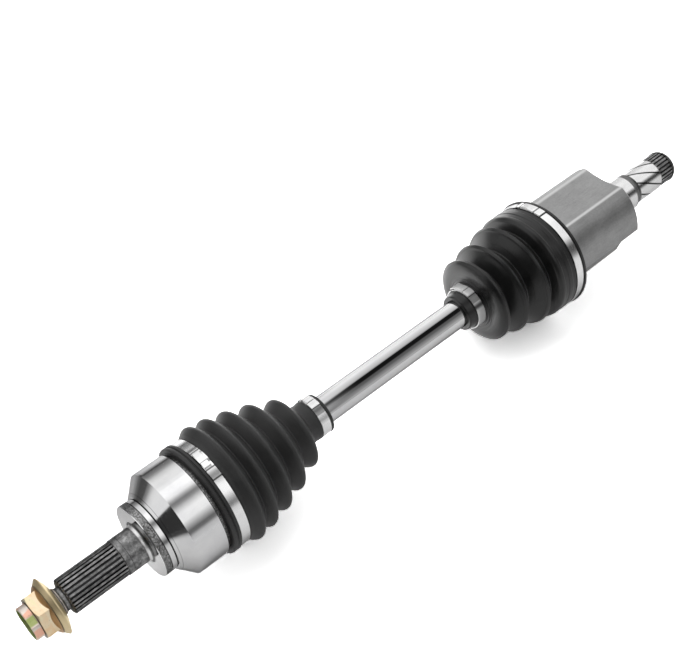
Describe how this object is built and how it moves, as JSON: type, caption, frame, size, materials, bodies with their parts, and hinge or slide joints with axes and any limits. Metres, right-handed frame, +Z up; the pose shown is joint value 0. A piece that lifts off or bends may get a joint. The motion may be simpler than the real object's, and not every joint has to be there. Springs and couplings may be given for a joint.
{
  "type": "cv axle shaft",
  "caption": "Front half shaft with a ball joint and splined, threaded stub at one end, a plunging tripod joint at the other, ribbed boots and band clamps.",
  "frame": {"origin": "halfway along the axle on its centre line, which is the centre of its overall box", "axes": "+X along the shaft from the wheel nut to the gearbox stub, +Z up as it lies, +Y completing the right-handed set"},
  "size_m": [0.696, 0.1014, 0.1014],
  "materials": {
    "polished_bar": "ground and polished steel bar",
    "bell_steel": "turned steel, the stub dark from heat treatment",
    "yellow_zinc": "yellow zinc plating",
    "race_steel": "ground bearing steel",
    "ball_steel": "polished bearing steel",
    "spring_steel": "black spring steel",
    "housing_steel": "satin turned steel",
    "adapter_rubber": "moulded elastomer",
    "outboard_rubber": "matt moulded thermoplastic elastomer",
    "inboard_rubber": "satin moulded rubber",
    "clamp_stainless": "bright stainless band"
  },
  "bodies": {
    "shaft": {"shaft": "polished_bar", "inner_race": "race_steel", "race_circlip": "spring_steel", "race_stop_ring": "spring_steel", "spider": "race_steel", "spider_circlip": "spring_steel", "spider_stop_ring": "spring_steel", "roller_retainer_a": "spring_steel", "roller_retainer_b": "spring_steel", "roller_retainer_c": "spring_steel", "roller_circlip_a": "spring_steel", "roller_circlip_b": "spring_steel", "roller_circlip_c": "spring_steel", "outboard_small_clamp": "clamp_stainless", "inboard_small_clamp": "clamp_stainless"},
    "outboard_bellows": {"outboard_boot": "outboard_rubber"},
    "bell": {"outboard_housing": "bell_steel", "outboard_large_clamp": "clamp_stainless"},
    "upright_balls": {"upright_ball_pair": "ball_steel"},
    "cage": {"ball_cage": "race_steel", "side_ball_set": "ball_steel"},
    "washer": {"nut_washer": "yellow_zinc"},
    "nut": {"axle_nut": "yellow_zinc"},
    "needles_c": {"needle_set_c": "ball_steel"},
    "inboard_bellows": {"inboard_boot": "inboard_rubber"},
    "tulip": {"tripod_housing": "housing_steel", "trilobe_adapter": "adapter_rubber", "inboard_large_clamp": "clamp_stainless", "stub_circlip": "spring_steel"},
    "roller_a": {"roller_a": "ball_steel", "needle_set_a": "ball_steel"},
    "roller_b": {"roller_b": "ball_steel", "needle_set_b": "ball_steel"},
    "roller_c": {"roller_c": "ball_steel"}
  },
  "joints": [
    {"name": "outboard_pitch", "type": "hinge", "parent": "shaft", "child": "upright_balls", "pos_m": [-0.2016, 0, 0], "axis": [0, 1, 0], "range_deg": [-12.5, 12.5], "deforming": ["outboard_boot"]},
    {"name": "outboard_yaw", "type": "hinge", "parent": "upright_balls", "child": "outboard_bellows", "pos_m": [-0.2016, 0, 0], "axis": [0, 0, 1], "range_deg": [-25, 25], "deforming": ["outboard_boot"]},
    {"name": "outboard_pitch_far_half", "type": "hinge", "parent": "outboard_bellows", "child": "bell", "pos_m": [-0.2016, 0, 0], "axis": [0, 1, 0], "range_deg": [-12.5, 12.5], "deforming": ["outboard_boot"]},
    {"name": "cage_yaw", "type": "hinge", "parent": "upright_balls", "child": "cage", "pos_m": [-0.2016, 0, 0], "axis": [0, 0, 1], "range_deg": [-12.5, 12.5]},
    {"name": "nut_travel", "type": "slide", "parent": "bell", "child": "washer", "axis": [1, 0, 0], "range_m": [-0.0195, 0.003]},
    {"name": "nut_spin", "type": "hinge", "parent": "washer", "child": "nut", "pos_m": [-0.3366, 0, 0], "axis": [1, 0, 0], "range_deg": [-4680, 720]},
    {"name": "inboard_yaw", "type": "hinge", "parent": "shaft", "child": "needles_c", "pos_m": [0.1924, 0, 0], "axis": [0, -0.1392, -0.9903], "range_deg": [-11, 11], "deforming": ["inboard_boot"]},
    {"name": "inboard_pitch", "type": "hinge", "parent": "needles_c", "child": "inboard_bellows", "pos_m": [0.1924, 0, 0], "axis": [0, -0.9903, 0.1392], "range_deg": [-11, 11], "deforming": ["inboard_boot"]},
    {"name": "plunge", "type": "slide", "parent": "inboard_bellows", "child": "tulip", "axis": [1, 0, 0], "range_m": [-0.016, 0.016], "deforming": ["inboard_boot"]},
    {"name": "roller_a_spin", "type": "hinge", "parent": "shaft", "child": "roller_a", "pos_m": [0.1924, 0, 0], "axis": [0, 0.9272, 0.3746], "continuous": true},
    {"name": "roller_b_spin", "type": "hinge", "parent": "shaft", "child": "roller_b", "pos_m": [0.1924, 0, 0], "axis": [0, -0.788, 0.6157], "continuous": true},
    {"name": "roller_c_spin", "type": "hinge", "parent": "shaft", "child": "roller_c", "pos_m": [0.1924, 0, 0], "axis": [0, -0.1392, -0.9903], "continuous": true}
  ],
  "couplings": [
    {"joint": "outboard_pitch_far_half", "follows": "outboard_pitch", "ratio": 1},
    {"joint": "cage_yaw", "follows": "outboard_yaw", "ratio": 0.5},
    {"joint": "nut_travel", "follows": "nut_spin", "m_per_rad": 0.00023873}
  ]
}
